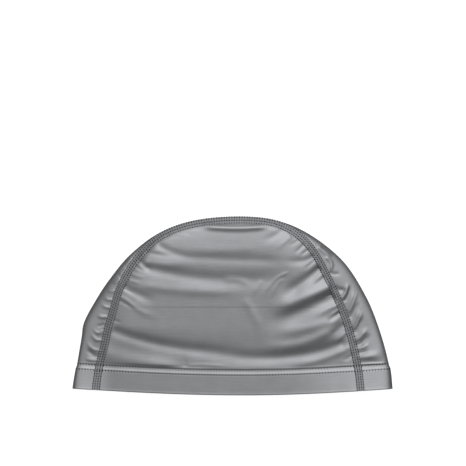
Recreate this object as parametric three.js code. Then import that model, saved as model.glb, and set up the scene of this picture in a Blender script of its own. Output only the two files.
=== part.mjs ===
// A coated-fabric swim cap of three sewn panels, lying flat on its side on a table.
// +X runs from the front of the cap to its back, +Y from the hem to the crown, and +Z up from the table.
// The origin is on the table, in the middle of the cap's length and height. All sizes are in millimetres.
import * as THREE from "three";

// The laid cap
const CAP_WIDTH = 240; // along the hem, from the front fold to the back fold
const CAP_HEIGHT = 135; // from the hem's lowest edge to the crown
const LAID_HEIGHT = 17; // from the table to the side panel that lies on top, between its folds
const CENTRE_WIDTH = 48; // the centre panel's cut width where it crosses the crown
const PILLOW_REACH = 25; // how far inside its seam the top panel reaches its full height
const FOLD_DEPTH = 3; // the deepest fold in the top panel

// The cloth and its seams
const PANEL_WALL = 1;
const HEM_WALL = 2; // the panels' ends turned up inside over an elastic
const HEM_DEPTH = 19;
const HEM_SAG = 4.8; // how far the hem's lowest place lies below its ends
const HEM_LOW_AT = 9; // how far behind the middle that place is
const MOUTH_HEIGHT = 15.2; // from the table to the top of the mouth, midway between the seams
const HEM_FLAT = 6; // how far above the hem the top panel starts to rise
const HEM_REACH = 26; // over how far it then rises to its full height
const SEAM_WIDTH = 6;
const SEAM_THICKNESS = 0.8;
const CLEARANCE = 0.3; // between two sewn pieces

const HALF_WIDTH = CAP_WIDTH / 2;
const HALF_HEIGHT = CAP_HEIGHT / 2;
const HEM_PROUD = (HEM_WALL - PANEL_WALL) / 2;
const SEAM_STACK = CLEARANCE + SEAM_THICKNESS; // a seam's height over its cloth
const HEM_LIFT = SEAM_STACK + HEM_PROUD; // the cloth's height over the table at the hem
const SEAM_EASE = 9; // over how far beside a seam or the hem the cloth comes down from it

// Sections round the cap, from the hem's front end over the crown to its back end.
// across and up place the outer fold, as shares of half the width and of the height. heading is the
// direction from the fold inwards, in degrees. above and below say how far inside the fold the upper
// and the lower seam lie, as shares of the centre panel's width. seam and fold are the heights of the
// upper seam and of the fold over the table, as shares of the laid height.
const SECTIONS = [
  { across: -1.0, up: 0.036, heading: -2, above: 0.354, below: 0.354, seam: 0.62, fold: 0.33 },
  { across: -0.975, up: 0.177, heading: -6, above: 0.35, below: 0.354, seam: 0.66, fold: 0.34 },
  { across: -0.949, up: 0.314, heading: -9, above: 0.375, below: 0.375, seam: 0.7, fold: 0.36 },
  { across: -0.931, up: 0.408, heading: -16, above: 0.385, below: 0.43, seam: 0.72, fold: 0.38 },
  { across: -0.857, up: 0.531, heading: -30, above: 0.313, below: 0.47, seam: 0.74, fold: 0.39 },
  { across: -0.77, up: 0.648, heading: -38, above: 0.21, below: 0.54, seam: 0.74, fold: 0.39 },
  { across: -0.641, up: 0.784, heading: -47, above: 0.123, below: 0.63, seam: 0.74, fold: 0.39 },
  { across: -0.463, up: 0.907, heading: -62, above: 0.071, below: 0.69, seam: 0.75, fold: 0.39 },
  { across: -0.238, up: 0.978, heading: -79, above: 0.056, below: 0.67, seam: 0.75, fold: 0.39 },
  { across: 0.05, up: 1.0, heading: -91, above: 0.058, below: 0.68, seam: 0.75, fold: 0.39 },
  { across: 0.294, up: 0.972, heading: -106, above: 0.073, below: 0.67, seam: 0.75, fold: 0.39 },
  { across: 0.501, up: 0.887, heading: -123, above: 0.165, below: 0.65, seam: 0.75, fold: 0.39 },
  { across: 0.701, up: 0.74, heading: -139, above: 0.348, below: 0.61, seam: 0.75, fold: 0.39 },
  { across: 0.839, up: 0.545, heading: -153, above: 0.423, below: 0.56, seam: 0.75, fold: 0.39 },
  { across: 0.917, up: 0.364, heading: -162, above: 0.456, below: 0.51, seam: 0.73, fold: 0.38 },
  { across: 0.976, up: 0.177, heading: -174, above: 0.49, below: 0.49, seam: 0.68, fold: 0.36 },
  { across: 1.0, up: 0.036, heading: -178, above: 0.49, below: 0.49, seam: 0.64, fold: 0.33 },
];
const LAST = SECTIONS.length - 1;
const HEM_SECTIONS = 1; // the first and the last of the gaps between sections are the hem's
const SHOULDERS = [6.5, 11.5]; // where the side panels' grids turn from their limbs to the crown

// The top panel's main folds, each along a curve from one point through another to a third.
// The points are shares of half the width across and of the height up. wide is the fold's half
// breadth at its two ends, as shares of the height, and rise its height, as a share of the fold depth.
const FOLDS = [
  { from: [-0.74, 0.363], through: [-0.39, 0.263], to: [0.03, 0.23], wide: [0.04, 0.05], rise: -0.5 },
  { from: [-0.2, 0.241], through: [0.36, 0.213], to: [0.71, 0.319], wide: [0.05, 0.035], rise: -0.5 },
  { from: [-0.575, 0.697], through: [-0.26, 0.658], to: [0.19, 0.635], wide: [0.035, 0.06], rise: -0.5 },
  { from: [-0.51, 0.858], through: [-0.356, 0.791], to: [-0.1, 0.763], wide: [0.025, 0.03], rise: -0.3 },
  { from: [0.59, 0.73], through: [0.4375, 0.636], to: [0.275, 0.547], wide: [0.03, 0.045], rise: -0.4 },
  { from: [0.65, 0.663], through: [0.4875, 0.574], to: [0.275, 0.491], wide: [0.035, 0.04], rise: 0.4 },
  { from: [0.675, 0.602], through: [0.475, 0.483], to: [0.1875, 0.391], wide: [0.04, 0.06], rise: -0.5 },
  { from: [0.7, 0.535], through: [0.5625, 0.452], to: [0.3, 0.319], wide: [0.035, 0.06], rise: 0.25 },
  { from: [-0.825, 0.252], through: [-0.606, 0.208], to: [-0.34, 0.158], wide: [0.03, 0.03], rise: 0.25 },
  { from: [0.4, 0.152], through: [0.58, 0.2], to: [0.7375, 0.286], wide: [0.03, 0.03], rise: 0.25 },
  { from: [-0.69, 0.608], through: [-0.6, 0.574], to: [-0.48, 0.53], wide: [0.03, 0.03], rise: -0.3 },
  { from: [-0.71, 0.675], through: [-0.635, 0.635], to: [-0.5, 0.597], wide: [0.025, 0.025], rise: 0.2 },
];
const FOLD_STEPS = 16; // straight steps along a fold's curve
const FOLD_FADE = [0.12, 0.4]; // the shares of a fold's length over which it fades in and out

// Facets
const PANEL_COLUMNS = 44;
const PANEL_ROWS = 24;
const UNDER_COLUMNS = 12;
const UNDER_ROWS = 16;
const ARCH_STEPS = 60;
const EDGE_STEPS = 5; // round the outer fold, on each side of it
const HEM_ROWS = 2;
const HEM_UPPER_STEPS = 22;
const HEM_LOWER_STEPS = 8;
const CURVE_SAMPLES = 200;
const TURN_SAMPLES = 16; // round one side of the outer fold, for lengths over its surface
const ROUNDING = 1e-9;

const clamp = (t) => Math.min(1, Math.max(0, t));
const smooth = (t) => clamp(t) ** 2 * (3 - 2 * clamp(t));
const mix = (a, b, t) => a + (b - a) * t;

// A column of the sections' table at a place between two rows, on a Catmull-Rom curve.
function column(name, place) {
  const row = Math.min(LAST - 1, Math.max(0, Math.floor(place)));
  const [a, b, c, d] = [row - 1, row, row + 1, row + 2].map(
    (i) => SECTIONS[Math.min(LAST, Math.max(0, i))][name],
  );
  const t = place - row;
  return b + 0.5 * t * (c - a + t * (2 * a - 5 * b + 4 * c - d + t * (3 * (b - c) + d - a)));
}

// The fold and the seams at a place round the cap.
function section(place) {
  const heading = THREE.MathUtils.degToRad(column("heading", place));
  return {
    fold: [column("across", place) * HALF_WIDTH, column("up", place) * CAP_HEIGHT - HALF_HEIGHT],
    inward: [Math.cos(heading), Math.sin(heading)],
    above: column("above", place) * CENTRE_WIDTH,
    below: column("below", place) * CENTRE_WIDTH,
    foldHeight: column("fold", place) * LAID_HEIGHT,
    seamHeight: column("seam", place) * LAID_HEIGHT,
  };
}

// The height of the hem's line at a distance above the hem's edge: it sags in the middle.
function hemLine(x, aboveEdge) {
  const fromLow = x - HEM_LOW_AT;
  const share = fromLow / (HALF_WIDTH - Math.sign(fromLow) * HEM_LOW_AT);
  return aboveEdge - HALF_HEIGHT + HEM_SAG * (1 - Math.cos((Math.PI / 2) * share));
}

// How far a place is into the hem, from 0 at the body to 1 at the hem's edge.
function hemShare(place) {
  return clamp(Math.max(HEM_SECTIONS - place, place - (LAST - HEM_SECTIONS)) / HEM_SECTIONS);
}

// A point in plan, a distance inside the fold at a place. In the hem it lies on the hem's lines, and
// above it the shift that this takes fades away over one section.
function planPoint(place, inside) {
  const free = (at) => section(at).fold.map((value, k) => value + section(at).inward[k] * inside);
  const [x, y] = free(place);
  if (hemShare(place) > 0) return [x, hemLine(x, HEM_DEPTH * (1 - hemShare(place)))];
  const [hemX, hemY] = free(place < LAST / 2 ? HEM_SECTIONS : LAST - HEM_SECTIONS);
  const fromHem = Math.min(place, LAST - place) - HEM_SECTIONS;
  return [x, y + (hemLine(hemX, HEM_DEPTH) - hemY) * (1 - smooth(fromHem))];
}

const seamPoint = (place, side) => planPoint(place, section(place)[side]);

// Places evenly spaced by length along the upper or the lower seam, and the seam's points there.
function seamCurve(side) {
  const places = [...Array(CURVE_SAMPLES + 1)].map((_, i) => (LAST * i) / CURVE_SAMPLES);
  const points = places.map((place) => seamPoint(place, side));
  const lengths = [0];
  for (let i = 1; i < points.length; i++) {
    const [dx, dy] = points[i].map((value, k) => value - points[i - 1][k]);
    lengths.push(lengths[i - 1] + Math.hypot(dx, dy));
  }
  return { places, points, lengths };
}
const CURVES = { above: seamCurve("above"), below: seamCurve("below") };

// The place whose share of the length between two places along a seam is t.
function placeBetween(side, start, end, t) {
  const { places, lengths } = CURVES[side];
  const lengthAt = (place) => {
    const at = (place / LAST) * CURVE_SAMPLES;
    const i = Math.min(CURVE_SAMPLES - 1, Math.floor(at));
    return mix(lengths[i], lengths[i + 1], at - i);
  };
  const wanted = mix(lengthAt(start), lengthAt(end), t);
  const i = Math.max(1, lengths.findIndex((length) => length >= wanted - ROUNDING));
  return mix(places[i - 1], places[i], (wanted - lengths[i - 1]) / (lengths[i] - lengths[i - 1]));
}

// The nearest point of a line of points: its distance, and its share along the line.
function nearest(points, x, y) {
  let best = { distance: Infinity, along: 0 };
  for (let i = 1; i < points.length; i++) {
    const [ax, ay] = points[i - 1];
    const [dx, dy] = [points[i][0] - ax, points[i][1] - ay];
    const t = clamp(((x - ax) * dx + (y - ay) * dy) / (dx * dx + dy * dy));
    const distance = Math.hypot(x - ax - dx * t, y - ay - dy * t);
    if (distance < best.distance) best = { distance, along: (i - 1 + t) / (points.length - 1) };
  }
  return best;
}

// Each fold's curve as points in plan.
const FOLD_LINES = FOLDS.map(({ from, through, to }) => {
  const [a, b, c] = [from, through, to].map(
    ([across, up]) => new THREE.Vector2(across * HALF_WIDTH, up * CAP_HEIGHT - HALF_HEIGHT),
  );
  const control = b.multiplyScalar(2).sub(a.clone().add(c).multiplyScalar(0.5));
  return new THREE.QuadraticBezierCurve(a, control, c).getPoints(FOLD_STEPS).map((p) => [p.x, p.y]);
});

// All the folds' height at a point in plan.
function foldsAt(x, y) {
  return FOLDS.reduce((sum, { wide, rise }, i) => {
    const { distance, along } = nearest(FOLD_LINES[i], x, y);
    const breadth = mix(wide[0], wide[1], along) * CAP_HEIGHT;
    const fade = smooth(along / FOLD_FADE[0]) * smooth((1 - along) / FOLD_FADE[1]);
    return sum + rise * FOLD_DEPTH * fade * Math.exp(-((distance / breadth) ** 2));
  }, 0);
}

// The outer surface of the cloth on top, between the seams: a pillow that rises from the seam and
// the hem to the laid height, with the folds in it.
function topHeight(x, y) {
  const { distance, along } = nearest(CURVES.above.points, x, y);
  const place = along * LAST;
  const edge = section(place).seamHeight;
  const rise = 1 - (1 - clamp(distance / PILLOW_REACH)) ** 2;
  const hemHeight = mix(edge, MOUTH_HEIGHT, rise * (1 - (x / HALF_WIDTH) ** 2));
  const upHem = y - hemLine(x, HEM_DEPTH);
  const pillow = mix(hemHeight, mix(edge, LAID_HEIGHT, rise), smooth((upHem - HEM_FLAT) / HEM_REACH));
  const folds = foldsAt(x, y) * smooth(distance / SEAM_WIDTH) * smooth(upHem / SEAM_WIDTH);
  return pillow + folds;
}

// How much of the hem's extra thickness the seams still ride over at a point in plan.
const hemRide = (x, y) => 1 - smooth((y - hemLine(x, HEM_DEPTH)) / SEAM_EASE);

// The outer surface of the cloth below: on the table, and lifted by the seam and the hem round it.
function underHeight(x, y) {
  const { distance } = nearest(CURVES.below.points, x, y);
  const nearSeam = 1 - smooth((distance - SEAM_WIDTH / 2) / SEAM_EASE);
  return SEAM_STACK * Math.max(nearSeam, hemRide(x, y)) + HEM_PROUD * hemRide(x, y);
}

// The outer surface of the centre panel, and of the hem below it, on one side of the fold.
// turn runs from 0 at the seam to 1 at the fold: it is a quarter of a rounded box.
const BEND = { above: 0.84, below: 0.66 }; // the smaller, the squarer the box
const HEIGHT = { above: topHeight, below: underHeight };
function foldSurface(place, side, turn) {
  const at = section(place);
  const [along, out] = [Math.cos((turn * Math.PI) / 2), Math.sin((turn * Math.PI) / 2)];
  const [x, y] = planPoint(place, (at[side] - CLEARANCE / 2) * (1 - out ** BEND[side]));
  const seamHeight = HEIGHT[side](...seamPoint(place, side));
  return [x, y, mix(at.foldHeight, seamHeight, clamp(along) ** BEND[side])];
}

// Steps round the outer fold from the upper seam to the lower one, as [side, turn].
const FOLD_TURNS = [...Array(2 * EDGE_STEPS + 1)].map((_, i) =>
  i <= EDGE_STEPS ? ["above", i / EDGE_STEPS] : ["below", 2 - i / EDGE_STEPS],
);

// Unit normals of a grid of points, from the steps to each point's neighbours.
function gridNormals(points, wraps) {
  const rows = points.length;
  const columns = points[0].length;
  const vector = (i, j) => new THREE.Vector3(...points[i][j]);
  return points.map((row, i) =>
    row.map((_, j) => {
      const left = wraps ? (j + columns - 1) % columns : Math.max(0, j - 1);
      const right = wraps ? (j + 1) % columns : Math.min(columns - 1, j + 1);
      const along = vector(i, right).sub(vector(i, left));
      const up = vector(Math.min(rows - 1, i + 1), j).sub(vector(Math.max(0, i - 1), j));
      return along.cross(up).normalize().toArray();
    }),
  );
}

// A closed sheet between two copies of a grid of points, moved along its normals by low and high,
// which are functions of the column. wraps says that the last column meets the first.
function sheet(name, material, points, low, high, wraps = false) {
  const [rows, columns] = [points.length, points[0].length];
  const normals = gridNormals(points, wraps);
  const layer = (by) =>
    points.flatMap((row, i) => row.flatMap((p, j) => p.map((value, k) => value + normals[i][j][k] * by(j))));
  const steps = wraps ? columns : columns - 1;
  const at = (isLow, i, j) => (isLow * rows + i) * columns + (j % columns);
  const index = [];
  const quad = (a, b, c, d) => index.push(a, b, c, a, c, d);
  for (let i = 0; i + 1 < rows; i++) {
    for (let j = 0; j < steps; j++) {
      quad(at(0, i, j), at(0, i, j + 1), at(0, i + 1, j + 1), at(0, i + 1, j));
      quad(at(1, i, j), at(1, i + 1, j), at(1, i + 1, j + 1), at(1, i, j + 1));
    }
  }
  for (let j = 0; j < steps; j++) {
    quad(at(1, 0, j), at(1, 0, j + 1), at(0, 0, j + 1), at(0, 0, j));
    quad(at(0, rows - 1, j), at(0, rows - 1, j + 1), at(1, rows - 1, j + 1), at(1, rows - 1, j));
  }
  for (let i = 0; i + 1 < rows && !wraps; i++) {
    quad(at(0, i, 0), at(0, i + 1, 0), at(1, i + 1, 0), at(1, i, 0));
    quad(at(1, i, steps), at(1, i + 1, steps), at(0, i + 1, steps), at(0, i, steps));
  }
  const geometry = new THREE.BufferGeometry();
  geometry.setAttribute("position", new THREE.Float32BufferAttribute([...layer(high), ...layer(low)], 3));
  geometry.setIndex(index);
  geometry.computeVertexNormals();
  const mesh = new THREE.Mesh(geometry, material);
  mesh.name = name;
  return mesh;
}

// Shares from 0 to 1 in a number of steps, closer together near both ends.
const CROWDING = 0.6;
const crowd = (t) => t - (CROWDING / (2 * Math.PI)) * Math.sin(2 * Math.PI * t);
const crowded = (steps) => [...Array(steps + 1)].map((_, i) => crowd(i / steps));

// A side panel: a grid between the hem's line, the seam's two limbs and the crown, blended from its
// four edges, with its height given by a function of the place in plan.
function sidePanel(name, material, side, columns, rows, low, high) {
  const inside = ([x, y]) => [x, Math.max(y, hemLine(x, HEM_DEPTH) + CLEARANCE)];
  const edge = (start, end, t) => {
    const place = placeBetween(side, start, end, t);
    return inside(planPoint(place, section(place)[side] + CLEARANCE / 2));
  };
  const ends = [HEM_SECTIONS, LAST - HEM_SECTIONS];
  const left = (v) => edge(ends[0], SHOULDERS[0], v);
  const right = (v) => edge(ends[1], SHOULDERS[1], v);
  const top = (u) => edge(SHOULDERS[0], SHOULDERS[1], u);
  const bottom = (u) => inside([mix(left(0)[0], right(0)[0], u), -HALF_HEIGHT]);
  const blend = (u, v, k) =>
    mix(bottom(u)[k], top(u)[k], v) +
    mix(left(v)[k], right(v)[k], u) -
    mix(mix(left(0)[k], right(0)[k], u), mix(left(1)[k], right(1)[k], u), v);
  const points = crowded(rows).map((v) =>
    crowded(columns).map((u) => {
      const [x, y] = [blend(u, v, 0), blend(u, v, 1)];
      return [x, y, HEIGHT[side](x, y)];
    }),
  );
  return sheet(name, material, points, () => low, () => high);
}

// Places along the upper seam, evenly spaced by length, between two places.
const placesAlong = (start, end, steps) =>
  [...Array(steps + 1)].map((_, i) => placeBetween("above", start, end, i / steps));

// The centre panel, from one seam round the outer fold to the other.
function centrePanel(material) {
  const places = placesAlong(HEM_SECTIONS, LAST - HEM_SECTIONS, ARCH_STEPS);
  const points = FOLD_TURNS.map(([side, turn]) =>
    places.map((place) => {
      const [x, y, z] = foldSurface(place, side, turn);
      return [x, Math.max(y, hemLine(x, HEM_DEPTH) + CLEARANCE), z];
    }),
  );
  return sheet("centre_panel", material, points, () => -PANEL_WALL, () => 0);
}

// The hem: a ring round the mouth, upper side, back fold, lower side and front fold.
function hem(material) {
  const shares = (steps) => [...Array(steps - 1)].map((_, i) => (i + 1) / steps);
  const between = (a, b, steps, height) =>
    shares(steps).map((t) => {
      const x = mix(a[0], b[0], t);
      return [x, height(x)];
    });
  const points = [...Array(HEM_ROWS + 1)].map((_, row) => {
    const front = (HEM_SECTIONS * row) / HEM_ROWS;
    const aboveEdge = (HEM_DEPTH * row) / HEM_ROWS;
    const frontFold = FOLD_TURNS.map(([side, turn]) => foldSurface(front, side, turn)).reverse();
    const backFold = FOLD_TURNS.map(([side, turn]) => foldSurface(LAST - front, side, turn));
    const last = (list) => list[list.length - 1];
    const line = (x) => hemLine(x, aboveEdge);
    const upper = between(last(frontFold), backFold[0], HEM_UPPER_STEPS, (x) => topHeight(x, line(x)));
    const lower = between(last(backFold), frontFold[0], HEM_LOWER_STEPS, () => HEM_LIFT);
    const flat = (list) => list.map(([x, z]) => [x, line(x), z]);
    return [...frontFold, ...flat(upper), ...backFold, ...flat(lower)];
  });
  return sheet("hem", material, points, () => HEM_PROUD - HEM_WALL, () => HEM_PROUD, true);
}

// A seam: a flat band of thread and lapped cloth on the outside of both panels, through the hem.
function seam(name, material, side) {
  const places = [
    ...placesAlong(0, HEM_SECTIONS, HEM_ROWS),
    ...placesAlong(HEM_SECTIONS, LAST - HEM_SECTIONS, ARCH_STEPS).slice(1, -1),
    ...placesAlong(LAST - HEM_SECTIONS, LAST, HEM_ROWS),
  ];
  const half = SEAM_WIDTH / 2;
  const inPanel = (place, by) => {
    const [x, y] = planPoint(place, section(place)[side] + by);
    return [x, y, HEIGHT[side](x, y)];
  };
  // The point of the centre panel at a distance from the seam, measured over its surface.
  const inCentre = (place, by) => {
    let before = foldSurface(place, side, 0);
    for (let i = 1, length = 0; i <= TURN_SAMPLES; i++) {
      const after = foldSurface(place, side, i / TURN_SAMPLES);
      const step = Math.hypot(...after.map((value, k) => value - before[k]));
      if (length + step >= by) return before.map((value, k) => mix(value, after[k], (by - length) / step));
      [length, before] = [length + step, after];
    }
    return before;
  };
  const rows = [
    (place) => inPanel(place, half),
    (place) => inPanel(place, half / 2),
    (place) => inPanel(place, 0),
    (place) => inCentre(place, half / 2),
    (place) => inCentre(place, half),
  ];
  const points = (side === "above" ? rows : rows.reverse()).map((row) => places.map(row));
  const proud = (j) => CLEARANCE + HEM_PROUD * hemRide(...seamPoint(places[j], side));
  return sheet(name, material, points, proud, (j) => proud(j) + SEAM_THICKNESS);
}

const coated = { color: 0x8e9092, metalness: 0.55, roughness: 0.42 };
const thread = { color: 0x6f7177, metalness: 0.1, roughness: 0.8 };
const cloth = () => new THREE.MeshStandardMaterial(coated);
const stitched = () => new THREE.MeshStandardMaterial(thread);

const cap = new THREE.Group();
cap.add(
  sidePanel("left_side_panel", cloth(), "above", PANEL_COLUMNS, PANEL_ROWS, -PANEL_WALL, 0),
  sidePanel("right_side_panel", cloth(), "below", UNDER_COLUMNS, UNDER_ROWS, 0, PANEL_WALL),
  centrePanel(cloth()),
  seam("left_seam", stitched(), "above"),
  seam("right_seam", stitched(), "below"),
  hem(cloth()),
);

export default cap;
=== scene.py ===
import bpy
import numpy as np
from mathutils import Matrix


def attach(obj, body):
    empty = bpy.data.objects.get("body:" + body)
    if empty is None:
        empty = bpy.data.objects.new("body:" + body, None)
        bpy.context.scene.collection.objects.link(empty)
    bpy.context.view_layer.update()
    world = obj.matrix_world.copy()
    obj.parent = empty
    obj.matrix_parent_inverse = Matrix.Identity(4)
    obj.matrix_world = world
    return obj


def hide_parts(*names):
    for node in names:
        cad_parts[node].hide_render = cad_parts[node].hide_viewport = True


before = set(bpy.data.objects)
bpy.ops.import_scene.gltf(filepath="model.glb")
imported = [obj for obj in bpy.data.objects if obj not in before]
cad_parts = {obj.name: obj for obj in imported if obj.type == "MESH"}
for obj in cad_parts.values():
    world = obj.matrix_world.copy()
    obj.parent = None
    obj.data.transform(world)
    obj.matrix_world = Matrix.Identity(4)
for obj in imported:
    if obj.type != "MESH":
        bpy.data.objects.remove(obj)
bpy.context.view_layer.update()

# The left side panel, on top
# One D-shaped cut of knitted fabric with a satin silver coating, sewn to the centre panel round its
# arch and turned up inside at the mouth. It lies loose over the folded cap, so it sags and creases.
CAP_WIDTH = 0.240
CAP_HEIGHT = 0.135
LAID_HEIGHT = 0.017
CENTRE_WIDTH = 0.048
PILLOW_REACH = 0.025
CROWN_DROP = 0.0026
CROWN_REACH = 0.007
FOLD_DEPTH = 0.0033
PANEL_WALL = 0.0008
HEM_DEPTH = 0.019
HEM_SAG = 0.0048
HEM_LOW_AT = 0.009
MOUTH_HEIGHT = 0.0159
HEM_REACH = 0.026
HEM_FLAT = 0.006
MOUTH_LIFT = 0.004
SHELF_RISE = 0.0022
SHELF_REACH = 0.028
SHELF_STARTS = 0.075
SHELF_FADE = 0.02
LIFT_STARTS = (-0.09, 0.028)
LIFT_REACHES = (0.019, 0.075)
SEAM_WIDTH = 0.006
PUCKER_REACH = 0.003
GROOVE_DEPTH = 0.0001
GROOVE_REACH = 0.0005
LIP_RISE = 0.00015
LIP_AT = 0.0009
LIP_REACH = 0.0007
HALF_WIDTH = CAP_WIDTH / 2
HALF_HEIGHT = CAP_HEIGHT / 2

# Sections round the cap, from the hem's front end over the crown to its back end: the outer fold's
# place, its heading inwards in degrees, how far inside it the two seams lie, and the heights of the
# upper seam and of the fold. Places are shares of half the width and of the height, distances shares
# of the centre panel's width, and heights shares of the laid height.
COLUMNS = ("across", "up", "heading", "above", "below", "seam", "fold")
SECTIONS = np.array([
    (-1.0, 0.036, -2, 0.354, 0.354, 0.64, 0.3),
    (-0.975, 0.177, -6, 0.35, 0.354, 0.67, 0.3),
    (-0.949, 0.314, -9, 0.375, 0.375, 0.7, 0.31),
    (-0.931, 0.408, -16, 0.385, 0.43, 0.72, 0.32),
    (-0.857, 0.531, -30, 0.313, 0.47, 0.74, 0.32),
    (-0.77, 0.648, -38, 0.21, 0.54, 0.74, 0.32),
    (-0.641, 0.784, -47, 0.123, 0.63, 0.74, 0.33),
    (-0.461, 0.904, -62, 0.048, 0.69, 0.75, 0.34),
    (-0.238, 0.974, -79, 0.041, 0.67, 0.75, 0.35),
    (0.05, 0.996, -91, 0.041, 0.68, 0.75, 0.35),
    (0.294, 0.97, -106, 0.042, 0.67, 0.75, 0.34),
    (0.501, 0.887, -123, 0.138, 0.65, 0.75, 0.33),
    (0.701, 0.74, -139, 0.345, 0.61, 0.75, 0.32),
    (0.841, 0.545, -153, 0.423, 0.56, 0.75, 0.32),
    (0.923, 0.364, -162, 0.456, 0.51, 0.74, 0.32),
    (0.981, 0.177, -174, 0.49, 0.49, 0.72, 0.31),
    (1.0, 0.036, -178, 0.49, 0.49, 0.7, 0.3),
])
LAST = len(SECTIONS) - 1

# The places of the panel's two upper corners and of the crown's two ends, over how many sections the
# crown's drop fades in, and by how much the panel's columns stand closer towards its sides.
SHOULDERS = (6.5, 11.5)
CROWN_PLACES = (5, 11.3)
CROWN_FADE = 1.5
FINER_SIDES = 0.45

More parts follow.
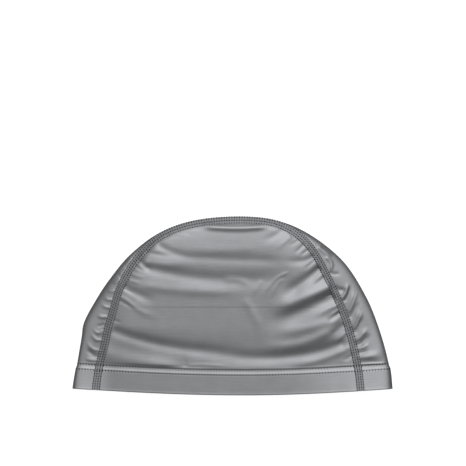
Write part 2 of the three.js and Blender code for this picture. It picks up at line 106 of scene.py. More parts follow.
# The folds: start, a point on the way, and end, as shares of half the width and of the height, then
# half breadths at both ends as shares of the height, the rise as a share of the fold depth, and the
# shares of the length over which it fades in and out.
PANEL_FOLDS = [
    ((-0.767, 0.367), (-0.375, 0.271), (0.113, 0.235), (0.0267, 0.0367), -0.35, (0.05, 0.35)),
    ((-0.288, 0.262), (0.275, 0.212), (0.726, 0.305), (0.0356, 0.0256), -0.327, (0.4, 0.06)),
    ((-0.826, 0.24), (-0.576, 0.187), (-0.288, 0.149), (0.05, 0.0389), 0.35, (0.1, 0.25)),
    ((-0.225, 0.136), (0.05, 0.133), (0.426, 0.141), (0.0389, 0.0334), 0.127, (0.25, 0.3)),
    ((-0.582, 0.723), (-0.125, 0.648), (0.413, 0.664), (0.03, 0.0445), -0.327, (0.08, 0.3)),
    ((-0.651, 0.625), (-0.294, 0.584), (0.088, 0.578), (0.0278, 0.0278), 0.173, (0.2, 0.3)),
    ((-0.569, 0.748), (-0.419, 0.728), (-0.2, 0.728), (0.0211, 0.0245), 0.133, (0.15, 0.5)),
    ((-0.588, 0.756), (-0.544, 0.717), (-0.488, 0.686), (0.0134, 0.0167), -0.133, (0.08, 0.4)),
    ((-0.482, 0.851), (-0.325, 0.781), (-0.1, 0.762), (0.0195, 0.0278), -0.207, (0.12, 0.5)),
    ((-0.294, 0.775), (0.019, 0.756), (0.394, 0.748), (0.025, 0.025), -0.14, (0.3, 0.3)),
    ((-0.557, 0.801), (-0.463, 0.784), (-0.313, 0.767), (0.0122, 0.0167), -0.127, (0.08, 0.5)),
    ((-0.225, 0.951), (0.019, 0.931), (0.257, 0.949), (0.0167, 0.0167), 0.42, (0.22, 0.22)),
    ((-0.325, 0.814), (-0.013, 0.809), (0.188, 0.82), (0.0278, 0.0278), 0.087, (0.3, 0.3)),
    ((-0.426, 0.887), (-0.375, 0.887), (-0.3, 0.881), (0.0083, 0.0083), -0.073, (0.1, 0.6)),
    ((-0.35, 0.909), (-0.288, 0.903), (-0.213, 0.887), (0.0078, 0.01), -0.06, (0.15, 0.6)),
    ((0.319, 0.926), (0.257, 0.884), (0.15, 0.848), (0.0167, 0.0278), -0.207, (0.08, 0.5)),
    ((0.369, 0.887), (0.319, 0.848), (0.25, 0.798), (0.0122, 0.0167), 0.1, (0.08, 0.5)),
    ((0.419, 0.864), (0.382, 0.845), (0.35, 0.826), (0.0083, 0.0111), -0.073, (0.1, 0.5)),
    ((0.457, 0.848), (0.419, 0.814), (0.382, 0.787), (0.0095, 0.0122), -0.12, (0.08, 0.5)),
    ((0.488, 0.814), (0.451, 0.795), (0.419, 0.77), (0.0083, 0.01), -0.107, (0.08, 0.5)),
    ((0.513, 0.787), (0.438, 0.748), (0.275, 0.753), (0.0145, 0.025), -0.207, (0.08, 0.45)),
    ((0.526, 0.759), (0.482, 0.725), (0.444, 0.698), (0.0089, 0.0122), -0.113, (0.08, 0.5)),
    ((0.557, 0.717), (0.444, 0.634), (0.288, 0.542), (0.0178, 0.0417), -0.483, (0.06, 0.35)),
    ((0.557, 0.695), (0.513, 0.661), (0.476, 0.62), (0.0072, 0.01), -0.08, (0.08, 0.5)),
    ((0.582, 0.664), (0.544, 0.636), (0.494, 0.603), (0.0089, 0.0134), -0.1, (0.08, 0.5)),
    ((0.632, 0.62), (0.482, 0.553), (0.225, 0.458), (0.0234, 0.0445), 0.58, (0.08, 0.25)),
    ((0.632, 0.564), (0.601, 0.556), (0.563, 0.542), (0.0072, 0.01), -0.1, (0.08, 0.5)),
    ((0.676, 0.565), (0.482, 0.488), (0.15, 0.364), (0.025, 0.06), -0.5, (0.15, 0.35)),
    ((0.657, 0.517), (0.632, 0.506), (0.601, 0.492), (0.0067, 0.0089), -0.087, (0.08, 0.5)),
    ((0.663, 0.402), (0.438, 0.29), (0.15, 0.275), (0.0278, 0.036), 0.33, (0.25, 0.35)),
    ((0.69, 0.43), (0.45, 0.37), (0.25, 0.34), (0.022, 0.04), 0.22, (0.1, 0.4)),
    ((0.682, 0.511), (0.607, 0.486), (0.507, 0.433), (0.0145, 0.02), 0.193, (0.08, 0.4)),
    ((0.676, 0.464), (0.632, 0.433), (0.582, 0.408), (0.0134, 0.0167), -0.2, (0.08, 0.4)),
    ((0.67, 0.478), (0.638, 0.458), (0.601, 0.436), (0.0072, 0.0089), 0.067, (0.08, 0.5)),
    ((0.704, 0.397), (0.66, 0.364), (0.601, 0.325), (0.0189, 0.0211), -0.18, (0.08, 0.4)),
    ((0.713, 0.353), (0.676, 0.319), (0.632, 0.286), (0.0111, 0.0145), 0.113, (0.08, 0.5)),
    ((0.751, 0.275), (0.563, 0.202), (0.325, 0.164), (0.0178, 0.0223), 0.16, (0.08, 0.35)),
    ((0.757, 0.233), (0.726, 0.208), (0.682, 0.191), (0.01, 0.0134), -0.127, (0.08, 0.5)),
    ((-0.682, 0.614), (-0.588, 0.561), (-0.451, 0.508), (0.0167, 0.0306), -0.233, (0.06, 0.45)),
    ((-0.613, 0.728), (-0.585, 0.706), (-0.551, 0.689), (0.0072, 0.0089), -0.087, (0.08, 0.5)),
    ((-0.638, 0.681), (-0.594, 0.664), (-0.532, 0.653), (0.01, 0.0134), 0.08, (0.08, 0.5)),
    ((-0.651, 0.642), (-0.613, 0.631), (-0.563, 0.622), (0.0083, 0.0111), 0.08, (0.08, 0.5)),
    ((-0.688, 0.595), (-0.651, 0.581), (-0.601, 0.559), (0.0072, 0.01), -0.087, (0.08, 0.5)),
    ((-0.707, 0.55), (-0.657, 0.525), (-0.613, 0.486), (0.0111, 0.0134), 0.113, (0.08, 0.45)),
    ((-0.713, 0.528), (-0.657, 0.503), (-0.601, 0.47), (0.0083, 0.0111), -0.073, (0.08, 0.5)),
    ((-0.638, 0.52), (-0.563, 0.464), (-0.432, 0.431), (0.0145, 0.02), 0.087, (0.2, 0.5)),
    ((-0.751, 0.419), (-0.72, 0.411), (-0.682, 0.406), (0.0078, 0.01), -0.08, (0.08, 0.6)),
    ((-0.3, 0.158), (-0.297, 0.191), (-0.307, 0.241), (0.01, 0.0189), -0.067, (0.05, 0.6)),
    ((-0.282, 0.166), (-0.163, 0.169), (0.0, 0.161), (0.0089, 0.0089), 0.047, (0.12, 0.3)),
    ((0.363, 0.689), (0.257, 0.634), (0.188, 0.536), (0.0095, 0.0122), 0.11, (0.2, 0.4)),
    ((0.325, 0.653), (0.275, 0.609), (0.244, 0.536), (0.0095, 0.0122), 0.1, (0.25, 0.4)),
    ((0.194, 0.648), (0.156, 0.603), (0.125, 0.542), (0.01, 0.0134), 0.08, (0.3, 0.4)),
    ((0.063, 0.547), (0.119, 0.47), (0.188, 0.347), (0.0223, 0.0278), 0.12, (0.3, 0.3)),
    ((-0.075, 0.636), (0.025, 0.642), (0.125, 0.611), (0.02, 0.02), 0.12, (0.3, 0.3)),
]


def smooth(share):
    """Three times the share squared less twice its cube: a soft step from 0 to 1."""
    share = np.clip(share, 0, 1)
    return share * share * (3 - 2 * share)


def section(place):
    """The columns of the sections' table at a place between two rows, on Catmull-Rom curves."""
    place = np.asarray(place, float)
    row = np.clip(np.floor(place).astype(int), 0, LAST - 1)
    t = (place - row)[..., None]
    a, b, c, d = (SECTIONS[np.clip(row + step, 0, LAST)] for step in (-1, 0, 1, 2))
    values = b + 0.5 * t * (c - a + t * (2 * a - 5 * b + 4 * c - d + t * (3 * (b - c) + d - a)))
    return {name: values[..., i] for i, name in enumerate(COLUMNS)}


def hem_line(x, above_edge):
    """The hem's line at a height above its edge: a quarter wave that sags towards its lowest place."""
    from_low = x - HEM_LOW_AT
    share = from_low / (HALF_WIDTH - np.sign(from_low) * HEM_LOW_AT)
    return above_edge - HALF_HEIGHT + HEM_SAG * (1 - np.cos(np.pi / 2 * share))


def hem_share(place):
    """How far a place is into the hem: 0 on the body and 1 at the hem's edge."""
    return np.clip(np.maximum(1 - place, place - (LAST - 1)), 0, 1)


def free_point(place, inside):
    """The fold's point at a place, moved inwards along its heading."""
    at = section(place)
    turn = np.radians(at["heading"])
    return (
        at["across"] * HALF_WIDTH + np.cos(turn) * inside,
        at["up"] * CAP_HEIGHT - HALF_HEIGHT + np.sin(turn) * inside,
    )


def plan_point(place, inside):
    """The same point in plan, brought onto the hem's lines, with a shift that fades over a section."""
    place, inside = np.broadcast_arrays(np.asarray(place, float), inside)
    x, y = free_point(place, inside)
    in_hem = hem_line(x, HEM_DEPTH * (1 - hem_share(place)))
    hem_x, hem_y = free_point(np.where(place < LAST / 2, 1.0, LAST - 1.0), inside)
    from_hem = np.minimum(place, LAST - place) - 1
    above = y + (hem_line(hem_x, HEM_DEPTH) - hem_y) * (1 - smooth(from_hem))
    return x, np.where(hem_share(place) > 0, in_hem, above)


def seam_point(place, side):
    """The upper or the lower seam's point in plan at a place."""
    return plan_point(place, section(place)[side] * CENTRE_WIDTH)


def lengths_along(points):
    """The summed lengths of the steps along a line of points, from 0 at its start."""
    steps = np.linalg.norm(np.diff(points, axis=0), axis=1)
    return np.concatenate([[0], np.cumsum(steps)])


SEAM_PLACES = np.linspace(0, LAST, 321)
SEAM_LINES = {side: np.stack(seam_point(SEAM_PLACES, side), -1) for side in ("above", "below")}
SEAM_LENGTHS = {side: lengths_along(line) for side, line in SEAM_LINES.items()}


def nearest(line, x, y):
    """The distance from a line of points to each place, and how far along the line it is nearest."""
    best = np.full(x.shape, np.inf)
    along = np.zeros(x.shape)
    for i in range(len(line) - 1):
        step_x, step_y = line[i + 1] - line[i]
        from_x, from_y = x - line[i, 0], y - line[i, 1]
        t = np.clip((from_x * step_x + from_y * step_y) / (step_x**2 + step_y**2), 0, 1)
        distance = (from_x - step_x * t) ** 2 + (from_y - step_y * t) ** 2
        along = np.where(distance < best, (i + t) / (len(line) - 1), along)
        best = np.minimum(best, distance)
    return np.sqrt(best), along


def fold_line(start, through, end):
    """A parabola through three points, as 17 points in plan."""
    start, through, end = map(np.array, (start, through, end))
    t = np.linspace(0, 1, 17)[:, None]
    control = 2 * through - (start + end) / 2
    points = (1 - t) ** 2 * start + 2 * t * (1 - t) * control + t * t * end
    return points * (HALF_WIDTH, CAP_HEIGHT) - (0, HALF_HEIGHT)


def folds_at(table, x, y):
    """The folds' summed height: each is a bell curve of the distance from its line, fading at its ends."""
    total = np.zeros(x.shape)
    for start, through, end, wide, rise, fade in table:
        line = fold_line(start, through, end)
        reach = 3 * max(wide) * CAP_HEIGHT
        low, high = line.min(0) - reach, line.max(0) + reach
        near = (x > low[0]) & (x < high[0]) & (y > low[1]) & (y < high[1])
        distance, along = nearest(line, x[near], y[near])
        breadth = (wide[0] + (wide[1] - wide[0]) * along) * CAP_HEIGHT
        ends = smooth(along / fade[0]) * smooth((1 - along) / fade[1])
        total[near] += rise * FOLD_DEPTH * ends * np.exp(-((distance / breadth) ** 2))
    return total


def mouth_lift(x, y):
    """How much higher the upper cloth stands near the mouth's two ends: the share of the way down the
    hem times a soft step towards each end. At the back the cloth also rises by a soft step down to the
    hem's top, and stays up from there."""
    front = smooth((LIFT_STARTS[0] - x) / LIFT_REACHES[0])
    back = smooth((x - LIFT_STARTS[1]) / LIFT_REACHES[1])
    down_hem = hem_line(x, HEM_DEPTH) - y
    shelf = smooth((x - SHELF_STARTS) / SHELF_FADE) * smooth(down_hem / SHELF_REACH + 1)
    return MOUTH_LIFT * (front + back) * np.clip(down_hem / HEM_DEPTH, 0, 1) + SHELF_RISE * shelf


def top_height(x, y):
    """The cloth's height between the upper seam's limbs: a pillow that rises as a parabola from the seam
    and softly from the hem, less a parabola that is deepest at the crown's seam, with the folds, which
    start beside the seam and the hem, and the mouth's lift."""
    distance, along = nearest(SEAM_LINES["above"], x, y)
    place = along * LAST
    edge = section(place)["seam"] * LAID_HEIGHT
    rise = 1 - (1 - np.clip(distance / PILLOW_REACH, 0, 1)) ** 2
    hem_height = edge + (MOUTH_HEIGHT - edge) * rise * (1 - (x / HALF_WIDTH) ** 2)
    up_hem = y - hem_line(x, HEM_DEPTH)
    body = edge + (LAID_HEIGHT - edge) * rise
    pillow = hem_height + (body - hem_height) * smooth((up_hem - HEM_FLAT) / HEM_REACH)
    start = smooth(distance / PUCKER_REACH) * smooth(up_hem / PUCKER_REACH)
    crown = smooth((place - CROWN_PLACES[0]) / CROWN_FADE) * smooth((CROWN_PLACES[1] - place) / CROWN_FADE)
    pillow = pillow - CROWN_DROP * crown * (1 - np.clip(distance / CROWN_REACH, 0, 1)) ** 2
    return pillow + folds_at(PANEL_FOLDS, x, y) * start + mouth_lift(x, y)


UNDER_RISE = 0.0011
UNDER_HEM_RISE = 0.0005
UNDER_REACH = 0.009


def under_height(x, y):
    """The lower cloth's outer surface: on the table, and lifted by soft steps beside the lower seam and
    the hem, where it is lifted a little more."""
    distance, _ = nearest(SEAM_LINES["below"], x, y)
    near_seam = 1 - smooth((distance - SEAM_WIDTH / 2) / UNDER_REACH)
    near_hem = 1 - smooth((y - hem_line(x, HEM_DEPTH)) / UNDER_REACH)
    return UNDER_RISE * np.maximum(near_seam, near_hem) + UNDER_HEM_RISE * near_hem


def groove(up_hem):
    """How the cloth leaves the stitch row at the hem's top: drawn in as a bell curve, with a lip just
    above it, which is another bell curve."""
    drawn_in = -GROOVE_DEPTH * np.exp(-((up_hem / GROOVE_REACH) ** 2))
    return drawn_in + LIP_RISE * np.exp(-(((up_hem - LIP_AT) / LIP_REACH) ** 2))


HEIGHT = {"above": top_height, "below": under_height}


def seam_place(side, start, end, share):
    """The places at even shares of the length of a seam between two places."""
    ends = np.interp([start, end], SEAM_PLACES, SEAM_LENGTHS[side])
    wanted = ends[0] + (ends[1] - ends[0]) * share
    return np.interp(wanted, SEAM_LENGTHS[side], SEAM_PLACES)


def side_panel_plan(side, columns, rows):
    """A grid over the D: its hem line, two seam limbs and crown, blended from its edges to its middle as
    the sum of the two straight blends less the blend of the four corners. The columns stand closer
    towards the seams, by a sine of their share."""
    u = np.linspace(0, 1, columns + 1)[None, :, None]
    u = u - FINER_SIDES * np.sin(2 * np.pi * u) / (2 * np.pi)
    v = np.linspace(0, 1, rows + 1)[:, None, None]

    def edge(start, end, share):
        """A stretch of the seam in plan, at these shares of its length."""
        return np.stack(seam_point(seam_place(side, start, end, share), side), -1)

    left = edge(1, SHOULDERS[0], v[:, 0, 0])[:, None]
    right = edge(LAST - 1, SHOULDERS[1], v[:, 0, 0])[:, None]
    top = edge(*SHOULDERS, u[0, :, 0])[None]
    bottom_x = left[0, 0, 0] + (right[0, 0, 0] - left[0, 0, 0]) * u[0, :, 0]
    bottom = np.stack([bottom_x, hem_line(bottom_x, HEM_DEPTH)], -1)[None]
    corners = (1 - v) * ((1 - u) * left[:1] + u * right[:1]) + v * ((1 - u) * left[-1:] + u * right[-1:])
    plan = (1 - v) * bottom + v * top + (1 - u) * left + u * right - corners
    return plan[..., 0], plan[..., 1]


def grid_normals(points, wraps=False):
    """Unit normals of a grid: the cross product of the steps along its rows and up its columns."""
    if wraps:
        along = np.roll(points, -1, 1) - np.roll(points, 1, 1)
    else:
        along = np.gradient(points, axis=1)
    normals = np.cross(along, np.gradient(points, axis=0))
    return normals / np.linalg.norm(normals, axis=-1, keepdims=True)


def grid_faces(rows, columns, wraps=False):
    """The quads of a grid of points, whose last column meets the first where it wraps."""
    i, j = np.meshgrid(np.arange(rows - 1), np.arange(columns if wraps else columns - 1), indexing="ij")
    after = (j + 1) % columns
    row, next_row = i * columns, (i + 1) * columns
    return np.stack([row + j, row + after, next_row + after, next_row + j], -1)


SHARP_ANGLE = 55


def put_mesh(name, points, faces, uv=None):
    """A mesh object of these points and faces, smooth apart from its sharp rims, with its cut's map."""
    mesh = bpy.data.meshes.new(name)
    mesh.from_pydata(points.reshape(-1, 3).tolist(), [], faces)
    mesh.shade_smooth()
    mesh.set_sharp_from_angle(angle=np.radians(SHARP_ANGLE))
    if uv is not None:
        corners = np.zeros(len(mesh.loops), np.int32)
        mesh.loops.foreach_get("vertex_index", corners)
        layer = mesh.uv_layers.new(name="cut")
        layer.data.foreach_set("uv", uv.reshape(-1, 2)[corners].ravel().astype(np.float32))
    piece = bpy.data.objects.new(name, mesh)
    bpy.context.scene.collection.objects.link(piece)
    return piece


def cloth(name, points, uv, wall, wraps=False):
    """A sheet of cloth: a grid of points, every second one of them again a wall's thickness below it along
    its normal, and a rim between the edges of the two."""
    inner = (points - grid_normals(points, wraps) * wall)[::2, ::2]
    outer_index = np.arange(points[..., 0].size).reshape(points.shape[:2])
    inner_index = np.arange(inner[..., 0].size).reshape(inner.shape[:2]) + outer_index.size
    faces = grid_faces(*outer_index.shape, wraps).reshape(-1, 4).tolist()
    faces += (grid_faces(*inner_index.shape, wraps)[..., ::-1].reshape(-1, 4) + outer_index.size).tolist()
    if wraps:
        outer_index, inner_index = (np.append(index, index[:, :1], 1) for index in (outer_index, inner_index))
    rims = [(outer_index[0, ::-1], inner_index[0, ::-1]), (outer_index[-1], inner_index[-1])]
    if not wraps:
        rims += [(outer_index[:, 0], inner_index[:, 0]), (outer_index[::-1, -1], inner_index[::-1, -1])]
    for near, far in rims:
        faces += np.stack([near[2::2], near[1::2], near[:-1:2], far[:-1], far[1:]], -1).tolist()
    uv = np.concatenate([uv.reshape(-1, 2), uv[::2, ::2].reshape(-1, 2)])
    return put_mesh(name, np.concatenate([points.reshape(-1, 3), inner.reshape(-1, 3)]), faces, uv)


def link(tree, source, target):
    """Joins an output of one node to an input of another."""
    tree.links.new(source, target)


def between_greys(tree, share, dark, light):
    """A colour that runs from dark to light while a share goes from 0.3 to 0.7."""
    ramp = tree.nodes.new("ShaderNodeValToRGB")
    for k, position, grey in ((0, 0.3, dark), (1, 0.7, light)):
        ramp.color_ramp.elements[k].position = position
        ramp.color_ramp.elements[k].color = (*grey, 1)
    link(tree, share, ramp.inputs["Fac"])
    return ramp.outputs["Color"]


FILM_DARK = (0.553, 0.563, 0.584)
FILM_LIGHT = (0.602, 0.612, 0.635)
CREASE_AT = -0.0012
CREASE_HALF_WIDTH = 0.0007
CREASE_HEIGHT = 0.00008
CREASE_FADES = ((-0.085, -0.055), (0.085, 0.055))


def coated_fabric(name, crease_at=None):
    """Silver polyurethane on knitted fabric: metal with a satin finish. The coat's fine streaks along the
    courses and the stitches of the knit under it are bumps, and noise varies its colour and polish. A
    packing crease is a soft step across a line up the cut, which fades out towards the panel's sides."""
    material = bpy.data.materials.new(name)
    material.use_nodes = True
    tree = material.node_tree
    add = tree.nodes.new
    shader = tree.nodes["Principled BSDF"]
    shader.inputs["Metallic"].default_value = 0.85
    shader.inputs["Coat Weight"].default_value = 0.08
    shader.inputs["Coat Roughness"].default_value = 0.3
    cut = add("ShaderNodeUVMap")
    cut.uv_map = "cut"

    def noise(scale, stretch, detail):
        """Noise on the cut's map, which the stretch pulls out along its axes."""
        place = add("ShaderNodeMapping")
        place.inputs["Scale"].default_value = stretch
        texture = add("ShaderNodeTexNoise")
        texture.inputs["Scale"].default_value = scale
        texture.inputs["Detail"].default_value = detail
        link(tree, cut.outputs["UV"], place.inputs["Vector"])
        link(tree, place.outputs["Vector"], texture.inputs["Vector"])
        return texture.outputs["Fac"]

    def bump(height, strength, distance, below=None):
        """The normal of a height, on top of the relief below it."""
        node = add("ShaderNodeBump")
        node.inputs["Strength"].default_value = strength
        node.inputs["Distance"].default_value = distance
        link(tree, height, node.inputs["Height"])
        if below is not None:
            link(tree, below, node.inputs["Normal"])
        return node.outputs["Normal"]

    mottle = noise(scale=90, stretch=(1, 1, 1), detail=4)
    link(tree, between_greys(tree, mottle, FILM_DARK, FILM_LIGHT), shader.inputs["Base Color"])
    polish = add("ShaderNodeMapRange")
    polish.inputs["To Min"].default_value = 0.30
    polish.inputs["To Max"].default_value = 0.38
    link(tree, noise(scale=500, stretch=(0.25, 1, 1), detail=3), polish.inputs["Value"])
    link(tree, polish.outputs["Result"], shader.inputs["Roughness"])
    streaks = bump(noise(scale=700, stretch=(0.12, 1, 1), detail=3), strength=0.4, distance=0.00015)
    knit = add("ShaderNodeTexWave")
    knit.inputs["Scale"].default_value = 620
    knit.inputs["Distortion"].default_value = 3
    knit.inputs["Detail"].default_value = 1
    knit.inputs["Detail Scale"].default_value = 2
    knit.bands_direction = "Y"
    link(tree, cut.outputs["UV"], knit.inputs["Vector"])
    normal = bump(knit.outputs["Fac"], strength=0.25, distance=0.00003, below=streaks)
    if crease_at is not None:
        parts = add("ShaderNodeSeparateXYZ")
        link(tree, cut.outputs["UV"], parts.inputs["Vector"])
        away = add("ShaderNodeMath")
        away.operation = "SUBTRACT"
        away.inputs[1].default_value = crease_at
        link(tree, parts.outputs["Y"], away.inputs[0])
        crease = add("ShaderNodeMapRange")
        crease.interpolation_type = "SMOOTHSTEP"
        crease.inputs["From Min"].default_value = -CREASE_HALF_WIDTH
        crease.inputs["From Max"].default_value = CREASE_HALF_WIDTH
        link(tree, away.outputs["Value"], crease.inputs["Value"])
        height = crease.outputs["Result"]
        for none_at, full_at in CREASE_FADES:
            fade = add("ShaderNodeMapRange")
            fade.interpolation_type = "SMOOTHSTEP"
            fade.inputs["From Min"].default_value = none_at
            fade.inputs["From Max"].default_value = full_at
            link(tree, parts.outputs["X"], fade.inputs["Value"])
            faded = add("ShaderNodeMath")
            faded.operation = "MULTIPLY"
            link(tree, height, faded.inputs[0])
            link(tree, fade.outputs["Result"], faded.inputs[1])
            height = faded.outputs["Value"]
        normal = bump(height, strength=1.0, distance=CREASE_HEIGHT, below=normal)
    link(tree, normal, shader.inputs["Normal"])
    return material


def dress(piece, material, slot, *nodes):
    """Gives a piece its material and lets it stand for its CAD nodes. The slot is not used."""
    piece.data.materials.append(material)
    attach(piece, "root")
    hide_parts(*nodes)


plan_x, plan_y = side_panel_plan("above", columns=300, rows=250)
top_points = np.stack([plan_x, plan_y, top_height(plan_x, plan_y)], -1)
top_points[..., 2] += groove(plan_y - hem_line(plan_x, HEM_DEPTH))
left_panel = cloth("left_side_panel_cloth", top_points, np.stack([plan_x, plan_y], -1), PANEL_WALL)
coated_cloth = coated_fabric("coated_cloth")
creased_cloth = coated_fabric("coated_cloth_with_packing_crease", crease_at=CREASE_AT)
dress(left_panel, creased_cloth, "coated_cloth", "left_side_panel")

# The right side panel, underneath
# The same cut of the same coated fabric, in mirror image. The cap lies on it, so it is flat, apart
# from where the seam round it and the hem below it lift it off the table.
plan_x, plan_y = side_panel_plan("below", columns=100, rows=90)
under_points = np.stack([plan_x, plan_y, under_height(plan_x, plan_y)], -1)[:, ::-1]
right_panel = cloth("right_side_panel_cloth", under_points, under_points[..., :2], PANEL_WALL)
dress(right_panel, coated_cloth, "coated_cloth", "right_side_panel")

# The centre panel
# One long strip of the same fabric that runs from the front of the hem over the crown to its back,
# between the two side panels. Laid flat, it folds along its middle, and its seams gather it.

# Its gathers, each written down as a fold of the side panel is.
CENTRE_GATHERS = [
    ((0.538, 0.831), (0.582, 0.798), (0.632, 0.77), (0.0122, 0.0145), 0.247, (0.1, 0.4)),
    ((0.576, 0.77), (0.62, 0.737), (0.607, 0.681), (0.0095, 0.0095), 0.189, (0.15, 0.3)),
    ((0.607, 0.686), (0.645, 0.675), (0.682, 0.686), (0.0111, 0.0111), -0.135, (0.1, 0.4)),
    ((0.632, 0.603), (0.676, 0.586), (0.713, 0.595), (0.0134, 0.0134), -0.225, (0.1, 0.4)),
    ((0.676, 0.533), (0.71, 0.575), (0.723, 0.631), (0.0089, 0.01), 0.216, (0.08, 0.3)),
    ((0.698, 0.52), (0.729, 0.564), (0.738, 0.62), (0.0078, 0.01), -0.189, (0.08, 0.35)),
    ((0.713, 0.47), (0.742, 0.525), (0.77, 0.592), (0.0072, 0.0089), 0.189, (0.06, 0.4)),
    ((0.726, 0.458), (0.76, 0.52), (0.785, 0.586), (0.0067, 0.0083), 0.153, (0.06, 0.4)),
    ((0.732, 0.425), (0.767, 0.475), (0.795, 0.531), (0.0111, 0.0145), -0.203, (0.08, 0.4)),
    ((0.745, 0.381), (0.776, 0.431), (0.798, 0.481), (0.0072, 0.0083), 0.189, (0.06, 0.4)),
    ((0.763, 0.367), (0.795, 0.422), (0.817, 0.481), (0.0072, 0.0083), 0.171, (0.06, 0.4)),
    ((0.763, 0.342), (0.795, 0.392), (0.82, 0.447), (0.0111, 0.0134), -0.225, (0.08, 0.4)),
    ((0.77, 0.303), (0.81, 0.336), (0.851, 0.381), (0.0106, 0.0145), 0.279, (0.06, 0.4)),
    ((0.779, 0.269), (0.826, 0.303), (0.864, 0.35), (0.0111, 0.0145), -0.279, (0.06, 0.4)),
    ((0.782, 0.247), (0.814, 0.266), (0.857, 0.286), (0.0083, 0.0122), 0.225, (0.06, 0.4)),
    ((0.788, 0.228), (0.82, 0.239), (0.851, 0.253), (0.0061, 0.0072), -0.144, (0.06, 0.4)),
    ((0.788, 0.205), (0.87, 0.219), (0.96, 0.225), (0.0139, 0.0278), 0.4, (0.06, 0.55)),
    ((0.801, 0.176), (0.88, 0.176), (0.964, 0.178), (0.0067, 0.0078), 0.135, (0.15, 0.15)),
    ((-0.632, 0.764), (-0.657, 0.739), (-0.676, 0.725), (0.0089, 0.01), 0.097, (0.1, 0.5)),
    ((-0.663, 0.703), (-0.695, 0.681), (-0.713, 0.67), (0.0089, 0.01), 0.11, (0.1, 0.5)),
    ((-0.701, 0.648), (-0.729, 0.631), (-0.751, 0.62), (0.0089, 0.01), 0.117, (0.1, 0.5)),
    ((-0.738, 0.581), (-0.76, 0.578), (-0.788, 0.575), (0.0089, 0.01), 0.097, (0.1, 0.5)),
    ((-0.751, 0.533), (-0.779, 0.533), (-0.814, 0.547), (0.0083, 0.01), 0.136, (0.1, 0.5)),
    ((-0.763, 0.489), (-0.795, 0.492), (-0.832, 0.508), (0.0083, 0.01), 0.136, (0.1, 0.5)),
    ((-0.782, 0.439), (-0.82, 0.436), (-0.851, 0.45), (0.0089, 0.0111), 0.168, (0.1, 0.5)),
    ((-0.801, 0.397), (-0.832, 0.386), (-0.857, 0.386), (0.0083, 0.01), -0.11, (0.1, 0.5)),
    ((-0.807, 0.364), (-0.845, 0.347), (-0.876, 0.381), (0.0078, 0.01), 0.13, (0.1, 0.4)),
    ((-0.82, 0.314), (-0.857, 0.311), (-0.889, 0.358), (0.0089, 0.0111), 0.156, (0.1, 0.4)),
    ((-0.839, 0.253), (-0.882, 0.261), (-0.914, 0.308), (0.0095, 0.0122), 0.136, (0.1, 0.4)),
    ((-0.839, 0.205), (-0.882, 0.23), (-0.914, 0.264), (0.0111, 0.0134), -0.194, (0.08, 0.4)),
    ((-0.845, 0.186), (-0.889, 0.197), (-0.926, 0.202), (0.0089, 0.0111), 0.11, (0.1, 0.4)),
]

# The powers that round the fold on its two sides, the share of them that is left at the hem, how many
# sections from the hem's edge that share starts to grow, and over how many it becomes whole.
BEND = {"above": 0.98, "below": 0.66}
HEM_BEND = 0.36
BEND_STARTS = 0.5
BEND_REACH = 4


def gather_height(x, y):
    """The gathers beside the upper seam, in the centre panel: bell curves that start beside the seam."""
    distance, _ = nearest(SEAM_LINES["above"], x, y)
    return folds_at(CENTRE_GATHERS, x, y) * smooth(distance / PUCKER_REACH)


def fold_surface(place, side, turn):
    """The centre panel from a seam, at turn 0, to the outer fold, at turn 1: a quarter of a rounded box,
    whose height and breadth are powers of the turn's cosine and sine. The powers are smaller near the
    hem, where the fold is boxier."""
    place, turn = np.broadcast_arrays(np.asarray(place, float), turn)
    at = section(place)
    from_hem = smooth((np.minimum(place, LAST - place) - BEND_STARTS) / BEND_REACH)
    bend = BEND[side] * (HEM_BEND + (1 - HEM_BEND) * from_hem)
    out = np.sin(turn * np.pi / 2) ** bend
    up = np.clip(np.cos(turn * np.pi / 2), 0, 1) ** bend
    x, y = plan_point(place, at[side] * CENTRE_WIDTH * (1 - out))
    seam_height = HEIGHT[side](*seam_point(place, side))
    fold_height = at["fold"] * LAID_HEIGHT
    z = fold_height + (seam_height - fold_height) * up
    if side == "above":
        z = z + gather_height(x, y) * (1 - turn**4)
    return np.stack([x, y, z], -1)


def round_the_fold(places, steps):
    """Rows of the centre panel from the upper seam round the outer fold to the lower one."""
    turn = np.linspace(0, 1, steps + 1)[:, None]
    upper = fold_surface(places[None], "above", turn)
    lower = fold_surface(places[None], "below", turn[::-1])[1:]
    return np.concatenate([upper, lower])


centre_places = seam_place("above", 1, LAST - 1, np.linspace(0, 1, 861))
centre_points = round_the_fold(centre_places, steps=36)
centre_points[..., 2] += groove(centre_points[..., 1] - hem_line(centre_points[..., 0], HEM_DEPTH))
strip_steps = np.diff(centre_points, axis=0, prepend=centre_points[:1])
strip_across = np.cumsum(np.linalg.norm(strip_steps, axis=-1), 0)
strip_along = np.interp(centre_places, SEAM_PLACES, SEAM_LENGTHS["above"])
strip_map = np.stack([strip_across, np.broadcast_to(strip_along, strip_across.shape)], -1)
centre_panel = cloth("centre_panel_cloth", centre_points, strip_map, PANEL_WALL)
dress(centre_panel, coated_cloth, "coated_cloth", "centre_panel")

# The hem
# The ends of all three panels, turned up inside over an elastic and held by two rows of stitches.
# Between the rows the cloth stands up as a welt, which each stitch draws in.
HEM_WALL = 0.002
HEM_PROUD = 0.0005
LOWER_ROW = 0.0151
STEP_STARTS = 0.0003
STEP_REACH = 0.0026
ROW_DEPTH = 0.00025
ROW_REACH = 0.0005
BETWEEN_STITCHES = 0.15
ROLL_RISE = 0.0001
ROLL_AT = 0.0009
ROLL_REACH = 0.0006
EDGE_ROUND = 0.0002
STITCH_PITCH = 0.0022


